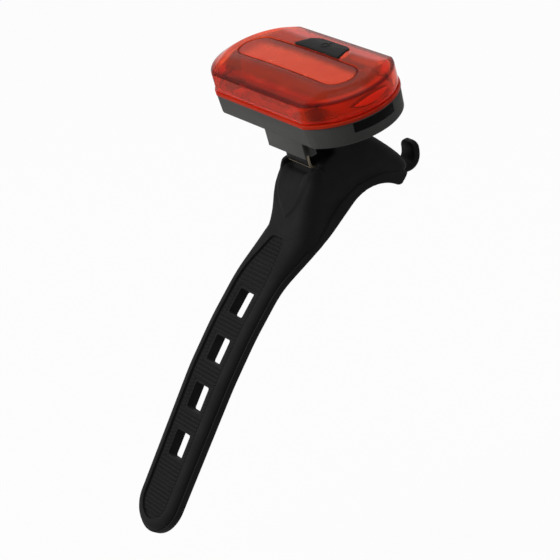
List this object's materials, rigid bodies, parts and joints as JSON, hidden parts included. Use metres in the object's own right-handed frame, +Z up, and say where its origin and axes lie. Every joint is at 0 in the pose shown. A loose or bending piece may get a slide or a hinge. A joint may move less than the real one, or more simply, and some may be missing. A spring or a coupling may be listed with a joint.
{
  "type": "bike rear light",
  "caption": "Rounded red rear light with a push button and charging port, clipped by a steel tongue to a silicone saddle whose perforated strap wraps a seat post and hooks shut.",
  "frame": {"origin": "on the axis of the seat post, midway across the strap", "axes": "+X along the post towards the port end of the light, +Y across the post towards the hook, +Z up through the lens"},
  "size_m": [0.0672, 0.1191, 0.1084],
  "materials": {
    "lens": "translucent red, satin",
    "housing": "fine texture",
    "seal_rubber": "smooth",
    "board": "solder mask",
    "white_plastic": "white",
    "phosphor": "cast silicone with phosphor",
    "chip": "moulded",
    "ceramic": "ceramic",
    "screw_steel": "zinc plated",
    "cell_foil": "foil pouch",
    "foam": "foam",
    "lead_red": "wire sleeve",
    "socket_steel": "plated",
    "plunger": "moulded",
    "button_rubber": "matte",
    "plug_rubber": "matte",
    "spring_steel": "bright",
    "silicone": "matte silicone",
    "hook_plastic": "black, satin"
  },
  "bodies": {
    "mount": {"strap_saddle": "silicone", "strap_hook": "hook_plastic"},
    "light": {"lens_cover": "lens", "rear_housing": "housing", "housing_seal": "seal_rubber", "led_board": "board", "cob_board": "white_plastic", "cob_phosphor": "phosphor", "reflector": "white_plastic", "side_leds": "phosphor", "driver_chip": "chip", "inductor": "chip", "capacitors": "ceramic", "board_screws": "screw_steel", "battery_cell": "cell_foil", "battery_pad": "foam", "battery_leads": "lead_red", "usb_shell": "socket_steel", "usb_tongue": "chip", "tact_switch": "chip", "clip_spring": "spring_steel"},
    "button": {"mode_button": "button_rubber"},
    "plunger": {"switch_plunger": "plunger"},
    "plug": {"port_plug": "plug_rubber"},
    "neck": {"strap_neck": "silicone"},
    "link_1": {"strap_link_1": "silicone"},
    "link_2": {"strap_link_2": "silicone"},
    "tail": {"strap_tail": "silicone"}
  },
  "joints": [
    {"name": "clip_slide", "type": "slide", "parent": "mount", "child": "light", "axis": [0, -1, 0], "range_m": [0, 0.022]},
    {"name": "button_press", "type": "slide", "parent": "light", "child": "button", "axis": [0, 0, -1], "range_m": [0, 0.0007], "stiffness_N_per_m": 1500},
    {"name": "plunger_press", "type": "slide", "parent": "light", "child": "plunger", "axis": [0, 0, -1], "range_m": [0, 0.0007]},
    {"name": "plug_open", "type": "hinge", "parent": "light", "child": "plug", "pos_m": [0.024, 0.0053, 0.04075], "axis": [0, 0, 1], "range_deg": [0, 100]},
    {"name": "strap_flex_1", "type": "hinge", "parent": "mount", "child": "neck", "pos_m": [0, -0.02372, 0.00317], "axis": [1, 0, 0], "range_deg": [0, 42], "stiffness_Nm_per_rad": 0.08},
    {"name": "strap_flex_2", "type": "hinge", "parent": "neck", "child": "link_1", "pos_m": [0, -0.03636, -0.00156], "axis": [1, 0, 0], "range_deg": [0, 42], "stiffness_Nm_per_rad": 0.08},
    {"name": "strap_flex_3", "type": "hinge", "parent": "link_1", "child": "link_2", "pos_m": [0, -0.04858, -0.0111], "axis": [1, 0, 0], "range_deg": [0, 42], "stiffness_Nm_per_rad": 0.08},
    {"name": "strap_flex_4", "type": "hinge", "parent": "link_2", "child": "tail", "pos_m": [0, -0.05934, -0.02096], "axis": [1, 0, 0], "range_deg": [0, 42], "stiffness_Nm_per_rad": 0.08}
  ],
  "couplings": [
    {"joint": "plunger_press", "follows": "button_press", "ratio": 1},
    {"joint": "strap_flex_2", "follows": "strap_flex_1", "ratio": 1},
    {"joint": "strap_flex_3", "follows": "strap_flex_1", "ratio": 1},
    {"joint": "strap_flex_4", "follows": "strap_flex_1", "ratio": 1}
  ]
}
